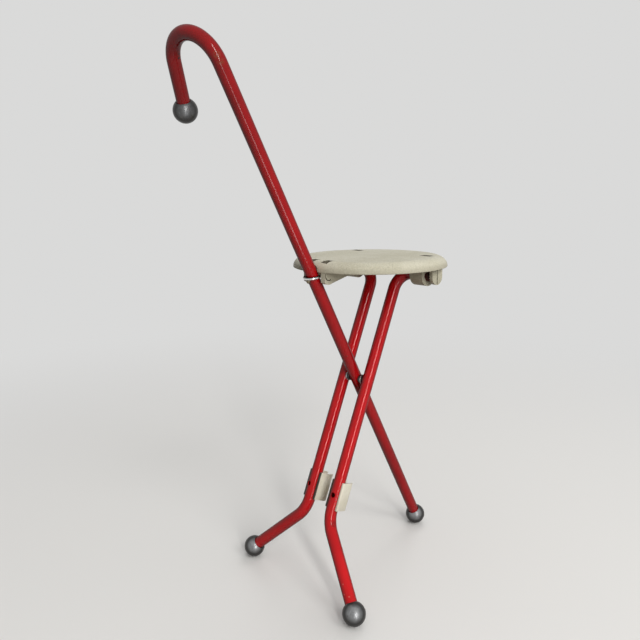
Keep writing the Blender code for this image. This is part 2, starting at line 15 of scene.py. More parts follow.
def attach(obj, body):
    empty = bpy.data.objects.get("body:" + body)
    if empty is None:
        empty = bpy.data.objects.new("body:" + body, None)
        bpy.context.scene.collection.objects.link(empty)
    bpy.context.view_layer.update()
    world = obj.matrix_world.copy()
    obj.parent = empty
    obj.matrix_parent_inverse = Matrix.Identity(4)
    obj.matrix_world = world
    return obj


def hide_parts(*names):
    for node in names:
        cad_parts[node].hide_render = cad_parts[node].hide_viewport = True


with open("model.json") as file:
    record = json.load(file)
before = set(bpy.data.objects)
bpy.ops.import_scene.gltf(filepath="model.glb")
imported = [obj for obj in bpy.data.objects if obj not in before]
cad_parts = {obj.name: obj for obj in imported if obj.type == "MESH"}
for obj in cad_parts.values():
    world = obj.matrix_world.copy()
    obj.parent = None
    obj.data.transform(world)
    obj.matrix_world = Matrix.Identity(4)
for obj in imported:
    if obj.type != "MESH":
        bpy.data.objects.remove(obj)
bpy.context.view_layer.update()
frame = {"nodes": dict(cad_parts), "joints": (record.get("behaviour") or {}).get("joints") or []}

# Stance and clearances, as in the CAD model
CANE_TILT = radians(27.75)
LEG_TILT = radians(22.9)
HUB_TO_FLOOR = 0.2871
SEAT_GAP = 0.0003
RUNNING_GAP = 0.0003
NOTCH_GAP = 0.0014

# Tubes
TUBE_RADIUS = 0.009
TUBE_WALL = 0.0015
TUBE_SIDES = 48
TUBE_LIP = 0.0003
BEND_STEP = radians(2.5)

# Meshes
SMOOTH_ANGLE = radians(32)
EASE_ANGLE = radians(38)
EASE_SEGMENTS = 2
WELD = 1e-6

# Crook, along the cane from the pivot
SHAFT_LENGTH = 0.484
CROOK_RADIUS = 0.043
CROOK_BEND = radians(158)
CROOK_TAIL = 0.063
CROOK_TURN = radians(4)

# Balls
BALL_RADIUS = 0.0165
BALL_SOCKET = 0.002
BALL_LIP = 0.0006
BALL_STEPS = 96
BALL_ARC_STEPS = 48

# Legs, along each leg from the pivot
LEG_SPREAD = 0.025
KNEE_DROP = 0.2168
KNEE_BEND = radians(43.4)
KNEE_RADIUS = 0.048
LEG_TOP = 0.173
STUB_BEND_RADIUS = 0.027

# Tones of the balls; the handle ball's darker greys are painted shade
HANDLE_SHADED_GREYS = ((0.082, 0.084, 0.087), (0.170, 0.174, 0.178))
FOOT_GREYS = ((0.185, 0.190, 0.196), (0.310, 0.318, 0.326))

# Paint, its wear as lengths along the tubes, and painted shade: the cane's darker reds and the dark stub
# axles
# The cane's reds are darker than the legs' as painted shade
CANE_SHADED_REDS = ((0.315, 0.0030, 0.0050), (0.405, 0.0046, 0.0068))
LEG_REDS = ((0.440, 0.0040, 0.0065), (0.560, 0.0062, 0.0090))
# Radius of the painted shade on the bare stub axles
STUB_SHADE_RADIUS = 0.0175
SPOT_GRAIN = 300.0
SPOT_RAGGED = 0.35
SPOT_CORE = 0.7
NICK_RADIUS = 0.0024
SCUFF_RADIUS = 0.0068
# Colour of the painted shade on the bare stub axles
STUB_SHADE_COLOUR = (0.020, 0.008, 0.007)
NICK_COLOUR = (0.010, 0.006, 0.006)
SCUFF_COLOUR = (0.230, 0.036, 0.018)
CHIP_COLOUR = (0.190, 0.005, 0.005)
FLECK_COLOUR = (0.52, 0.080, 0.066)
NICKS_BACK = (0.074, 0.081)
SCUFFS_AHEAD = (0.0, 0.007)
KNEE_CHIP_BELOW = 0.004
FLECKS = ((0.006, 0.1), (0.011, -0.6), (0.024, -0.25))
FLECK_RADIUS = 0.0016
GRIP_LOW = 0.52
GRIP_HIGH = 0.70

# Pivot
PIN_RADIUS = 0.004
SPACER_RADIUS = 0.0066
SPACER_LENGTH = 0.0042
WASHER_RADIUS = 0.0075
RING_EDGE = 0.0005
RING_EDGE_STEPS = 4
RING_STEPS = 64

# Clips and their screws
CLIP_ABOVE_KNEE = 0.0398
CLIP_DROP = KNEE_DROP - CLIP_ABOVE_KNEE
CLIP_LENGTH = 0.042
CLIP_RADIUS = 0.0118
CLIP_WALL = 0.0026
CLIP_OFFSET = 0.016
CLIP_PASS_GAP = 0.0007
CLIP_SLIT = 0.010
SADDLE_WALL = 0.003
SADDLE_WRAP = radians(106)
SADDLE_DARK_BAND = 0.0011
CLIP_STEPS = 96
CLIP_EDGE = 0.0005
SCREW_RADIUS = 0.0017
SCREW_HEAD_RADIUS = 0.0031
SCREW_HEAD_HEIGHT = 0.0022
SCREW_BITE = 0.0022
SCREW_DOME = radians(-15)
SCREW_CROSS = 0.0007
SCREW_CROSS_REACH = 0.62
SCREW_CROSS_DEPTH = 0.0011
SCREW_STEPS = 40
ACCESS_HOLE_RADIUS = 0.0037

# Seat
SEAT_RADIUS = 0.116
SEAT_BACK = 0.0383
RIM_RISE = 0.0117
SEAT_DEPTH = 0.0155
SHOULDER = 0.018
RIM_EDGE = 0.001
RIM_EDGE_STEPS = 6
SHELL_WALL = 0.004
RIM_TOP = RIM_RISE + SEAT_DEPTH
FLAT_RADIUS = SEAT_RADIUS - SHOULDER
SEAT_STEPS = 180
SHOULDER_STEPS = 20
SEAT_EDGE = 0.0005
BARREL_RADIUS = 0.016
BARREL_INNER = 0.060
BARREL_OUTER = 0.0825
STOP_INNER = 0.0935
STOP_OUTER = 0.0985
STOP_RADIUS = 0.0115
STOP_DROP = 0.0015
STOP_SLIT = 0.0022
LUG_BACK = 0.1433
LUG_RISE = 0.0075
LUG_RADIUS = 0.0125
LUG_LENGTH = 0.007
LUG_FACE_WALL = 0.0015
LUG_GROOVE_OUTER = 0.0072
LUG_GROOVE_INNER = 0.0058
LUG_GROOVE_DEPTH = 0.0025
LUG_GROOVE_START = radians(155)
LUG_GROOVE_END = radians(305)
RAIL_THICKNESS = 0.005
RAIL_SLOPE = radians(14)
POCKET_DEPTH = 0.010
POCKET_WIDTH = 0.009
POCKET_EDGE = 0.0004
# Painted shade in the seat's pockets and lug grooves: how far past a pocket it spreads, and its colour
POCKET_SHADE_MARGIN = 0.0014
RECESS_SHADE_COLOUR = (0.060, 0.050, 0.036)
LUG_POCKET_LENGTH = 0.0106
LUG_POCKET_SHIFT = 0.0046
BARREL_POCKET_LENGTH = 0.016
BARREL_POCKET_SHIFT = 0.009

# Bail and the rivet under it
WIRE_RADIUS = 0.002
WIRE_SIDES = 24
WIRE_DOME = (radians(30), radians(60), radians(90))
BAIL_DROP = radians(10)
BAIL_BEND_RADIUS = 0.0038
STOP_RIVET_RADIUS = 0.0032
STOP_RIVET_HEIGHT = 0.0036
STOP_RIVET_SHANK = 0.0016
STOP_RIVET_DOME = radians(10)

# Derived places
CANE_FOOT = HUB_TO_FLOOR / cos(CANE_TILT)
LEG_FOOT = HUB_TO_FLOOR / cos(LEG_TILT)
STUB_END = STOP_INNER - SEAT_GAP
BAIL_ARM_SIDE = TUBE_RADIUS + WIRE_RADIUS + RUNNING_GAP
LUG_INNER = BAIL_ARM_SIDE + BAIL_BEND_RADIUS
LUG_OUTER = LUG_INNER + LUG_LENGTH
TUBE_INSET = BALL_SOCKET - SEAT_GAP
SHANK_LENGTH = (LEG_FOOT - KNEE_DROP) / cos(KNEE_BEND)
SIDES = {"left": 1, "right": -1}
UP = Vector((0, 0, 1))

# The bail's hinge from the pivot: along X and Z, then outside the cane's axis and up along the cane
LUG_X = LEG_TOP * sin(LEG_TILT) - LUG_BACK
LUG_Z = LEG_TOP * cos(LEG_TILT) + LUG_RISE
LUG_OUTSIDE = -LUG_X * cos(CANE_TILT) - LUG_Z * sin(CANE_TILT)
LUG_HEIGHT = -LUG_X * sin(CANE_TILT) + LUG_Z * cos(CANE_TILT)

# The bail from its hinge to the middle of its bow, and where the bow crosses the cane's outer side
BAIL_REACH = (BAIL_ARM_SIDE - LUG_OUTSIDE) / cos(CANE_TILT - BAIL_DROP)
BOW_HEIGHT = LUG_HEIGHT + BAIL_REACH * sin(CANE_TILT - BAIL_DROP)

# Camera, as fitted to the photograph
CAMERA_PLACE = Vector((-0.60477, -0.6375, 0.5803))
CAMERA_HEADING = radians(42.178)
CAMERA_DROP = radians(11.556)
CAMERA_ROLL = radians(-0.6855)
CAMERA_LENS = 34.42
CAMERA_SENSOR = 36.0
CAMERA_SHIFT = -1.0 / 640.0
CAMERA_CLIP = 0.01
CAMERA_RIGHT = Vector((cos(CAMERA_HEADING), -sin(CAMERA_HEADING), 0.0))
CAMERA_NEAR = Vector((-sin(CAMERA_HEADING), -cos(CAMERA_HEADING), 0.0))

# Ways that the marks on the paint face
NICK_FACING = CAMERA_RIGHT * 0.8 + CAMERA_NEAR * 0.6
SCUFF_FACING = CAMERA_NEAR + CAMERA_RIGHT * 0.2
CHIP_FACING = CAMERA_NEAR + CAMERA_RIGHT * 0.5

# Stage
STAGE_CENTRE = Vector((0.04, 0.0, 0.34))
FLOOR_RADIUS = 9.0
FLOOR_STEPS = 96
FLOOR_COLOUR = (0.76, 0.755, 0.74)
FLOOR_BOUNCE = (0.19, 0.165, 0.135)
BACKDROP_COLOUR = (0.70, 0.70, 0.695)
FADE_START = 0.3
FADE_END = 1.9
AMBIENT_LEAN = 0.32
AMBIENT_START = 0.1
AMBIENT_LOW = (0.030, 0.028, 0.026)
AMBIENT_HIGH = (0.77, 0.765, 0.76)

# Lamps: degrees to the right of the camera's side, degrees up, distance, width, height, watts, colour, and
# whether gloss shows them
LAMPS = {
    "key": (20.0, 18.0, 4.4, 0.42, 3.6, 118.0, (1.0, 0.985, 0.96), True),
    "side": (46.0, 34.0, 4.2, 1.7, 2.0, 58.0, (1.0, 0.99, 0.97), False),
    "rear": (165.0, 46.0, 4.0, 2.0, 2.0, 27.0, (1.0, 1.0, 1.0), False),
}

# A lamp on the floor that only gloss shows, for the line of light along the upper cane
STRIP_NEAR = Vector((-0.30, -0.65, 0.02))
STRIP_FAR = Vector((-1.40, -2.04, 0.02))
STRIP_WIDTH = 0.34
STRIP_POWER = 10.5
STRIP_COLOUR = (1.0, 1.0, 1.0)


def joint_frame(joint, tilt):
    """A frame on a joint's axis, turned about +Y."""
    place = next(item["pos_m"] for item in frame["joints"] if item["name"] == joint)
    return Matrix.Translation(place) @ Matrix.Rotation(tilt, 4, "Y")


CANE_FRAME = joint_frame("fold", -CANE_TILT)
LEGS_FRAME = joint_frame("fold", LEG_TILT)
SEAT_FRAME = joint_frame("seat_turn", 0.0)
BAIL_FRAME = joint_frame("bail_swing", -BAIL_DROP)


# Shapes


def add_piece(name, shape, place, material=None):
    """Turn a bmesh, drawn in the frame called place, into an object in the row frame."""
    mesh = bpy.data.meshes.new(name)
    bmesh.ops.transform(shape, matrix=place, verts=shape.verts)
    bmesh.ops.recalc_face_normals(shape, faces=shape.faces)
    shape.to_mesh(mesh)
    shape.free()
    piece = bpy.data.objects.new(name, mesh)
    bpy.context.collection.objects.link(piece)
    if material is not None:
        mesh.materials.append(material)
    return piece


def bake(piece):
    """Replace a piece's mesh with the one its modifiers give."""
    bpy.context.view_layer.update()
    depsgraph = bpy.context.evaluated_depsgraph_get()
    mesh = bpy.data.meshes.new_from_object(piece.evaluated_get(depsgraph))
    piece.modifiers.clear()
    piece.data = mesh


def combine(piece, shape, place, operation="DIFFERENCE"):
    """Cut, join or trim a piece by a bmesh drawn in the frame called place."""
    tool = add_piece("tool", shape, place)
    modifier = piece.modifiers.new(operation.lower(), "BOOLEAN")
    modifier.operation = operation
    modifier.object = tool
    bake(piece)
    bpy.data.objects.remove(tool)


def ease_edges(piece, width):
    """Round a piece's sharp edges."""
    bevel = piece.modifiers.new("eased", "BEVEL")
    bevel.width = width
    bevel.segments = EASE_SEGMENTS
    bevel.limit_method = "ANGLE"
    bevel.angle_limit = EASE_ANGLE
    bevel.use_clamp_overlap = True
    bake(piece)


def dress(piece, node, body):
    """Finish a piece that stands for a CAD node, shaded smooth apart from its sharp edges."""
    piece.data.polygons.foreach_set("use_smooth", [True] * len(piece.data.polygons))
    piece.data.set_sharp_from_angle(angle=SMOOTH_ANGLE)
    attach(piece, body)
    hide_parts(node)


def lathe(profile, steps, closed=False):
    """Revolve a profile of (radius, height) points about Z."""
    shape = bmesh.new()
    verts = [shape.verts.new((radius, 0.0, height)) for radius, height in profile]
    ends = verts[1:] + verts[:1] if closed else verts[1:]
    edges = [shape.edges.new(pair) for pair in zip(verts, ends)]
    bmesh.ops.spin(shape, geom=verts + edges, cent=(0, 0, 0), axis=(0, 0, 1), angle=tau,
                   steps=steps, use_merge=True)
    bmesh.ops.remove_doubles(shape, verts=shape.verts, dist=WELD)
    return shape


def extrude(points, along):
    """Extrude an outline of points by a vector."""
    shape = bmesh.new()
    face = shape.faces.new([shape.verts.new(point) for point in points])
    grown = bmesh.ops.extrude_face_region(shape, geom=[face])
    moved = [item for item in grown["geom"] if isinstance(item, bmesh.types.BMVert)]
    bmesh.ops.translate(shape, verts=moved, vec=along)
    return shape


def prism(outline, one, other):
    """Extrude an outline of (x, z) points along Y, between two places in either order."""
    start, end = sorted((one, other))
    return extrude([(x, start, z) for x, z in outline], (0.0, end - start, 0.0))


def box(low, high):
    """A box between two corners."""
    corners = [(low[0], low[2]), (high[0], low[2]), (high[0], high[2]), (low[0], high[2])]
    return prism(corners, low[1], high[1])


def aimed(origin, direction):
    """A matrix that puts the Z axis of a lathe or rod at origin, along direction."""
    turn = Vector(direction).to_track_quat("Z", "Y").to_matrix().to_4x4()
    return Matrix.Translation(origin) @ turn


def rod(radius, start, end, steps):
    """A round bar between two points."""
    shape = bmesh.new()
    along = end - start
    bmesh.ops.create_cone(shape, cap_ends=True, segments=steps, radius1=radius, radius2=radius,
                          depth=along.length, matrix=aimed((start + end) / 2, along))
    return shape


def arc(centre, radii, first, last, steps):
    """Points of an elliptical arc; the angles are in radians."""
    angles = [first + (last - first) * step / steps for step in range(steps + 1)]
    return [(centre[0] + radii[0] * cos(a), centre[1] + radii[1] * sin(a)) for a in angles]


def bent_path(start, heading, side, runs):
    """Centre line of a bent tube: each run is a straight length, then a bend radius and angle.

    A positive angle bends from heading towards side, a negative one away from it.
    """
    points = [start.copy()]
    place = start.copy()
    for length, radius, angle in runs:
        place = place + heading * length
        points.append(place)
        towards = side if angle > 0 else -side
        centre = place + towards * radius
        steps = max(1, round(abs(angle) / BEND_STEP)) if angle else 0
        for step in range(1, steps + 1):
            swept = abs(angle) * step / steps
            points.append(centre - towards * radius * cos(swept) + heading * radius * sin(swept))
        place = points[-1]
        heading, side = (heading * cos(angle) + side * sin(angle),
                         side * cos(angle) - heading * sin(angle))
    return points


def stations(path):
    """Rings of a tube's skin, out along its outside and back along its bore.

    Each is an index into the path, a shift along it and a radius.
    """
    last = len(path) - 1
    skins = []
    for radius, flare in ((TUBE_RADIUS, -TUBE_LIP), (TUBE_RADIUS - TUBE_WALL, TUBE_LIP)):
        skin = [(0, 0.0, radius + flare), (0, TUBE_LIP, radius)]
        skin += [(index, 0.0, radius) for index in range(1, last)]
        skin += [(last, -TUBE_LIP, radius), (last, 0.0, radius + flare)]
        skins.append(skin)
    outside, inside = skins
    return outside + inside[::-1]


def path_frames(path):
    """A tangent and two cross directions at each point of a path, without twist."""
    frames = []
    across = None
    for index in range(len(path)):
        before = path[max(index - 1, 0)]
        after = path[min(index + 1, len(path) - 1)]
        tangent = (after - before).normalized()
        if across is None:
            across = tangent.orthogonal()
        across = (across - tangent * across.dot(tangent)).normalized()
        frames.append((tangent, across, tangent.cross(across)))
    return frames


def add_rings(shape, path, places, sides):
    """Rings of vertices along a path: each place is an index into it, a shift along it and a radius."""
    angles = [tau * step / sides for step in range(sides)]
    frames = path_frames(path)
    rings = []
    for index, shift, radius in places:
        tangent, first, second = frames[index]
        centre = path[index] + tangent * shift
        points = [centre + first * radius * cos(a) + second * radius * sin(a) for a in angles]
        rings.append([shape.verts.new(point) for point in points])
    return rings


def join_rings(shape, rings):
    """Bands of quads from each ring to the next."""
    for one, other in zip(rings, rings[1:]):
        for corners in zip(one, one[1:] + one[:1], other[1:] + other[:1], other):
            shape.faces.new(corners)


def tube(path):
    """An open-ended tube along a path, its end edges eased."""
    shape = bmesh.new()
    rings = add_rings(shape, path, stations(path), TUBE_SIDES)
    join_rings(shape, rings + rings[:1])
    return shape


def wire(path):
    """A solid wire along a path, with rounded ends."""
    shape = bmesh.new()
    last = len(path) - 1
    dome = [(sin(a), 1 - cos(a)) for a in WIRE_DOME]
    places = [(0, depth * WIRE_RADIUS, size * WIRE_RADIUS) for size, depth in dome]
    places += [(index, 0.0, WIRE_RADIUS) for index in range(1, last)]
    places += [(last, -depth * WIRE_RADIUS, size * WIRE_RADIUS) for size, depth in reversed(dome)]
    rings = add_rings(shape, path, places, WIRE_SIDES)
    join_rings(shape, rings)
    for ring, tip in ((rings[0], path[0]), (rings[-1], path[-1])):
        point = shape.verts.new(tip)
        for one, other in zip(ring, ring[1:] + ring[:1]):
            shape.faces.new((one, other, point))
    return shape


def headed(shank, tip, radius, seat, crown, dome):
    """A rivet or screw about Z: a shank from tip to seat, and a domed head from seat to crown.

    The angle called dome is where the head's curve begins.
    """
    profile = [(0.0, tip), (shank, tip), (shank, seat), (radius, seat)]
    end = copysign(pi / 2, dome)
    profile += arc((0.0, seat), (radius, abs(crown - seat)), dome, end, SCREW_STEPS // 4)
    profile[-1] = (0.0, crown)
    return lathe(profile, SCREW_STEPS)


# Materials


class Nodes:
    """A node tree under construction."""

    def __init__(self, tree):
        self.tree = tree

    def add(self, kind, **settings):
        """A shader node of a kind, with its settings."""
        node = self.tree.nodes.new(f"ShaderNode{kind}")
        for name, value in settings.items():
            setattr(node, name, value)
        return node

    def put(self, socket, item):
        """Set a socket to a number, a vector, a colour or another node's output."""
        if isinstance(item, bpy.types.NodeSocket):
            self.tree.links.new(item, socket)
        elif isinstance(item, tuple) and len(item) == 3 and socket.type == "RGBA":
            socket.default_value = (*item, 1.0)
        else:
            socket.default_value = item

    def fill(self, node, *items):
        """Set a node's sockets in order, and return its first output."""
        for socket, item in zip(node.inputs, items):
            self.put(socket, item)
        return node.outputs[0]

    def plug(self, node, **items):
        """Set a node's sockets by name, and return its first output."""
        for name, item in items.items():
            self.put(node.inputs[name.replace("_", " ")], item)
        return node.outputs[0]

    def span(self, item, low, high, bottom=0.0, top=1.0):
        """Ease a value from bottom to top as it goes from low to high."""
        node = self.add("MapRange", interpolation_type="SMOOTHSTEP")
        return self.fill(node, item, low, high, bottom, top)

    def maths(self, operation, one, other):
        """Arithmetic on two values."""
        return self.fill(self.add("Math", operation=operation), one, other)

    def times(self, one, other):
        """Product of two values."""
        return self.maths("MULTIPLY", one, other)

    def vector(self, operation, *items):
        """Vector arithmetic: a value for a length, a distance or a dot product, or else a vector."""
        node = self.add("VectorMath", operation=operation)
        self.fill(node, *items)
        return node.outputs["Value" if operation in ("LENGTH", "DISTANCE", "DOT_PRODUCT") else "Vector"]

    def axis(self, item, name):
        """One coordinate of a vector."""
        split = self.add("SeparateXYZ")
        self.fill(split, item)
        return split.outputs[name]

    def blend(self, factor, one, other):
        """Mix two colours."""
        node = self.add("Mix", data_type="RGBA")
        self.put(node.inputs[0], factor)
        self.put(node.inputs[6], one)
        self.put(node.inputs[7], other)
        return node.outputs[2]

    def mix(self, factor, one, other):
        """Mix two shaders."""
        return self.fill(self.add("MixShader"), factor, one, other)

    def coloured(self, kind, colour):
        """A plain shader of a kind."""
        return self.fill(self.add(kind), colour)

    def pale_when_seen(self, shown, lit):
        """One shader for the camera and reflections, and another for the light that falls on the stool."""
        rays = self.add("LightPath").outputs
        seen = self.maths("MAXIMUM", rays["Is Camera Ray"], rays["Is Glossy Ray"])
        return self.mix(self.maths("MAXIMUM", seen, rays["Is Transmission Ray"]), lit, shown)


class Shade(Nodes):
    """A node material under construction, on a Principled shader."""

    def __init__(self, name):
        self.material = bpy.data.materials.new(name)
        self.material.use_nodes = True
        super().__init__(self.material.node_tree)
        self.shader = self.tree.nodes["Principled BSDF"]
        self.where = self.add("TexCoord").outputs["Object"]

    def stretched(self, turn, scale):
        """Object coordinates, turned and then scaled along each axis."""
        node = self.add("VectorRotate", rotation_type="EULER_XYZ")
        return self.vector("MULTIPLY", self.plug(node, Vector=self.where, Rotation=turn), scale)

    def noise(self, scale, detail=3.0, rough=0.55, where=None):
        """Fractal noise, about 0 to 1."""
        node = self.add("TexNoise")
        return self.plug(node, Vector=where or self.where, Scale=scale, Detail=detail, Roughness=rough)

    def spot(self, place, radius):
        """A mask round a place on the object, with a ragged edge."""
        wobble = self.times(self.noise(SPOT_GRAIN), SPOT_RAGGED * radius)
        reach = self.maths("ADD", self.vector("DISTANCE", self.where, place), wobble)
        return self.span(reach, radius * SPOT_CORE, radius, 1.0, 0.0)

    def block(self, low, high, soft):
        """A mask inside a box, in object coordinates; soft is the width of its edge."""
        centre = (low + high) / 2
        reach = self.vector("ABSOLUTE", self.vector("SUBTRACT", self.where, centre))
        over = self.vector("SUBTRACT", reach, high - centre)
        farthest = self.maths("MAXIMUM", self.axis(over, "Y"), self.axis(over, "Z"))
        return self.span(self.maths("MAXIMUM", self.axis(over, "X"), farthest), 0.0, soft, 1.0, 0.0)

    def groove(self, centre, inner, outer, bottom, top, soft):
        """A mask between two radii round an axis along Y, and between two distances from its middle."""
        offset = self.vector("SUBTRACT", self.where, centre)
        reach = self.vector("LENGTH", self.vector("MULTIPLY", offset, (1.0, 0.0, 1.0)))
        away = self.maths("ABSOLUTE", self.axis(offset, "Y"), 0.0)
        mask = 1.0
        for item, low, high in ((reach, inner, outer), (away, bottom, top)):
            mask = self.times(mask, self.span(item, low - soft, low))
            mask = self.times(mask, self.span(item, high, high + soft, 1.0, 0.0))
        return mask

    def upward(self):
        """How far the surface faces up, from -1 to 1, in object coordinates."""
        return self.axis(self.add("TexCoord").outputs["Normal"], "Z")

    def turned_away(self):
        """How far the surface turns away from the viewer, from 0 to 1."""
        return self.add("LayerWeight").outputs["Facing"]

    def bump(self, height, strength, distance):
        """A bump from a height."""
        return self.plug(self.add("Bump"), Strength=strength, Distance=distance, Height=height)

    def finish(self, colour, rough, normal, **others):
        """Fill in the shader's sockets and hand over the material."""
        self.plug(self.shader, Base_Color=colour, Roughness=rough, Normal=normal, **others)
        return self.material


def red_enamel(name, reds, tilt, marks):
    """Gloss enamel on a tube, with drifting tone, streaks along it, small chips, marks at places and
    painted shade where it turns away.
    """
    shade = Shade(name)
    along = shade.stretched((0.0, tilt, 0.0), (1.0, 1.0, 0.045))
    drift = shade.span(shade.noise(11.0, 3.0), 0.32, 0.70)
    colour = shade.blend(drift, *reds)
    darkening = shade.span(shade.axis(shade.where, "Z"), GRIP_LOW, GRIP_HIGH)
    darkening = shade.times(darkening, shade.span(shade.noise(30.0, 4.0), 0.30, 0.65, 0.35, 0.75))
    colour = shade.blend(darkening, colour, (0.190, 0.0070, 0.0075))
    streaks = shade.span(shade.noise(430.0, 3.0, 0.6, along), 0.60, 0.74)
    colour = shade.blend(shade.times(streaks, 0.20), colour, (0.66, 0.045, 0.040))
    patches = shade.span(shade.noise(26.0, 2.0), 0.56, 0.66)
    chips = shade.times(shade.span(shade.noise(260.0, 4.0, 0.6), 0.655, 0.685), patches)
    colour = shade.blend(chips, colour, (0.085, 0.030, 0.022))
    blotch = shade.span(shade.noise(420.0, 4.0, 0.65), 0.36, 0.60)
    # Marks are wear, and painted shade on the stub axles
    for place, radius, stain, blotchy in marks:
        cover = shade.spot(place, radius)
        if blotchy:
            cover = shade.times(cover, blotch)
        colour = shade.blend(cover, colour, stain)
    # Painted shade: the red darkens where the surface turns away from the viewer
    edge = shade.span(shade.turned_away(), 0.10, 0.80, 0.0, 0.80)
    colour = shade.blend(edge, colour, (0.130, 0.0010, 0.0016))
    rough = shade.span(shade.noise(70.0, 4.0), 0.35, 0.70, 0.24, 0.34)
    rough = shade.maths("ADD", rough, shade.times(streaks, 0.10))
    rough = shade.maths("ADD", rough, shade.times(chips, 0.35))
    normal = shade.bump(shade.noise(620.0, 2.0), 0.02, 0.00025)
    return shade.finish(colour, rough, normal, Coat_Weight=0.50, Coat_Roughness=0.11,
                        Specular_IOR_Level=0.0)


def grey_ball(name, greys):
    """Satin grey metal, mottled and scuffed, with painted shade where it turns away."""
    shade = Shade(name)
    mottle = shade.span(shade.noise(95.0, 4.0, 0.6), 0.34, 0.68)
    colour = shade.blend(mottle, *greys)
    along = shade.stretched((0.6, 0.3, 0.9), (1.0, 1.0, 0.18))
    scuffs = shade.span(shade.noise(240.0, 3.0, 0.6, along), 0.60, 0.74)
    colour = shade.blend(shade.times(scuffs, 0.55), colour, (0.40, 0.405, 0.41))
    pits = shade.span(shade.noise(420.0, 2.0), 0.64, 0.72)
    colour = shade.blend(shade.times(pits, 0.5), colour, (0.055, 0.052, 0.050))
    # Painted shade: darker where the ball turns away from the viewer
    edge = shade.span(shade.turned_away(), 0.04, 0.42)
    colour = shade.blend(edge, colour, (0.034, 0.033, 0.032))
    rough = shade.span(mottle, 0.0, 1.0, 0.40, 0.30)
    rough = shade.maths("ADD", rough, shade.times(scuffs, 0.08))
    height = shade.maths("SUBTRACT", shade.times(mottle, 0.5), shade.times(pits, 0.6))
    normal = shade.bump(height, 0.25, 0.0004)
    return shade.finish(colour, rough, normal, Metallic=0.55)


def seat_moulding(name):
    """Grey-beige moulded plastic with a fine grain, faint scratches and darker patches, and painted shade
    on its sides, its underside, its pockets and its lug grooves.
    """
    shade = Shade(name)
    drift = shade.span(shade.noise(17.0, 4.0), 0.34, 0.68)
    colour = shade.blend(drift, (0.462, 0.440, 0.335), (0.526, 0.504, 0.400))
    speckle = shade.span(shade.noise(560.0, 2.0), 0.40, 0.66)
    colour = shade.blend(shade.times(speckle, 0.30), colour, (0.72, 0.70, 0.60))
    turned = shade.stretched((0.4, 0.8, 0.2), (1.0, 1.0, 1.0))
    specks = shade.span(shade.noise(430.0, 2.0, 0.5, turned), 0.56, 0.70)
    colour = shade.blend(shade.times(specks, 0.42), colour, (0.30, 0.28, 0.21))
    darker_areas = shade.span(shade.noise(48.0, 5.0, 0.65), 0.60, 0.74)
    colour = shade.blend(shade.times(darker_areas, 0.22), colour, (0.30, 0.275, 0.215))
    along = shade.stretched((0.0, 0.0, 0.7), (1.0, 0.05, 1.0))
    scratches = shade.span(shade.noise(300.0, 2.0, 0.5, along), 0.66, 0.74)
    colour = shade.blend(shade.times(scratches, 0.14), colour, (0.36, 0.34, 0.28))
    # Painted shade in the pockets, reaching a little past their edges
    for low, high in pocket_boxes():
        grown = Vector((POCKET_SHADE_MARGIN, POCKET_SHADE_MARGIN, 0))
        inside = shade.block(SEAT_FRAME @ (low - grown), SEAT_FRAME @ (high + grown), POCKET_EDGE)
        colour = shade.blend(inside, colour, RECESS_SHADE_COLOUR)
    # Painted shade in each lug's curved groove
    hinge = SEAT_FRAME @ Vector((-LUG_BACK, 0, LUG_RISE))
    groove = shade.groove(hinge, LUG_GROOVE_INNER, LUG_GROOVE_OUTER, LUG_OUTER - LUG_GROOVE_DEPTH,
                          LUG_OUTER - SEAT_EDGE, SEAT_EDGE)
    colour = shade.blend(groove, colour, RECESS_SHADE_COLOUR)
    # Painted shade: darker on faces that turn from upward, such as the rim's sides and the underside
    darkening = shade.span(shade.upward(), 0.25, 0.75, 0.34, 0.0)
    colour = shade.blend(darkening, colour, (0.31, 0.290, 0.215))
    rough = shade.span(shade.noise(60.0, 3.0), 0.3, 0.7, 0.44, 0.60)
    grain = shade.noise(1150.0, 2.0)
    height = shade.maths("SUBTRACT", grain, shade.times(scratches, 0.4))
    normal = shade.bump(height, 0.22, 0.0003)
    return shade.finish(colour, rough, normal, Specular_IOR_Level=0.25)


def clip_plastic(name):
    """Cream plastic, slightly yellowed, with a satin face and rubbed streaks, darker where it lies behind
    the legs' axes.
    """
    shade = Shade(name)
    drift = shade.span(shade.noise(40.0, 3.0), 0.34, 0.68)
    colour = shade.blend(drift, (0.680, 0.645, 0.525), (0.760, 0.735, 0.630))
    along = shade.stretched((0.0, LEG_TILT, 0.0), (1.0, 1.0, 0.12))
    rubbed = shade.span(shade.noise(260.0, 3.0, 0.6, along), 0.58, 0.74)
    colour = shade.blend(shade.times(rubbed, 0.25), colour, (0.52, 0.49, 0.39))
    # Darker where the clips lie behind the legs' axes, apart from the near clip's outer side
    ahead = LEGS_FRAME.col[0].xyz
    front = LEGS_FRAME.translation.dot(ahead) - SADDLE_DARK_BAND
    forward = shade.vector("DOT_PRODUCT", shade.where, ahead)
    darker_areas = shade.span(forward, front - SADDLE_DARK_BAND, front, 1.0, 0.0)
    across = shade.axis(shade.where, "Y")
    inner = shade.span(across, -LEG_SPREAD - SADDLE_DARK_BAND, -LEG_SPREAD + SADDLE_DARK_BAND)
    darker_areas = shade.times(darker_areas, inner)
    colour = shade.blend(darker_areas, colour, (0.052, 0.044, 0.034))
    rough = shade.span(shade.noise(90.0, 3.0), 0.3, 0.7, 0.38, 0.52)
    normal = shade.bump(shade.noise(900.0, 2.0), 0.12, 0.0003)
    return shade.finish(colour, rough, normal, Specular_IOR_Level=0.25)


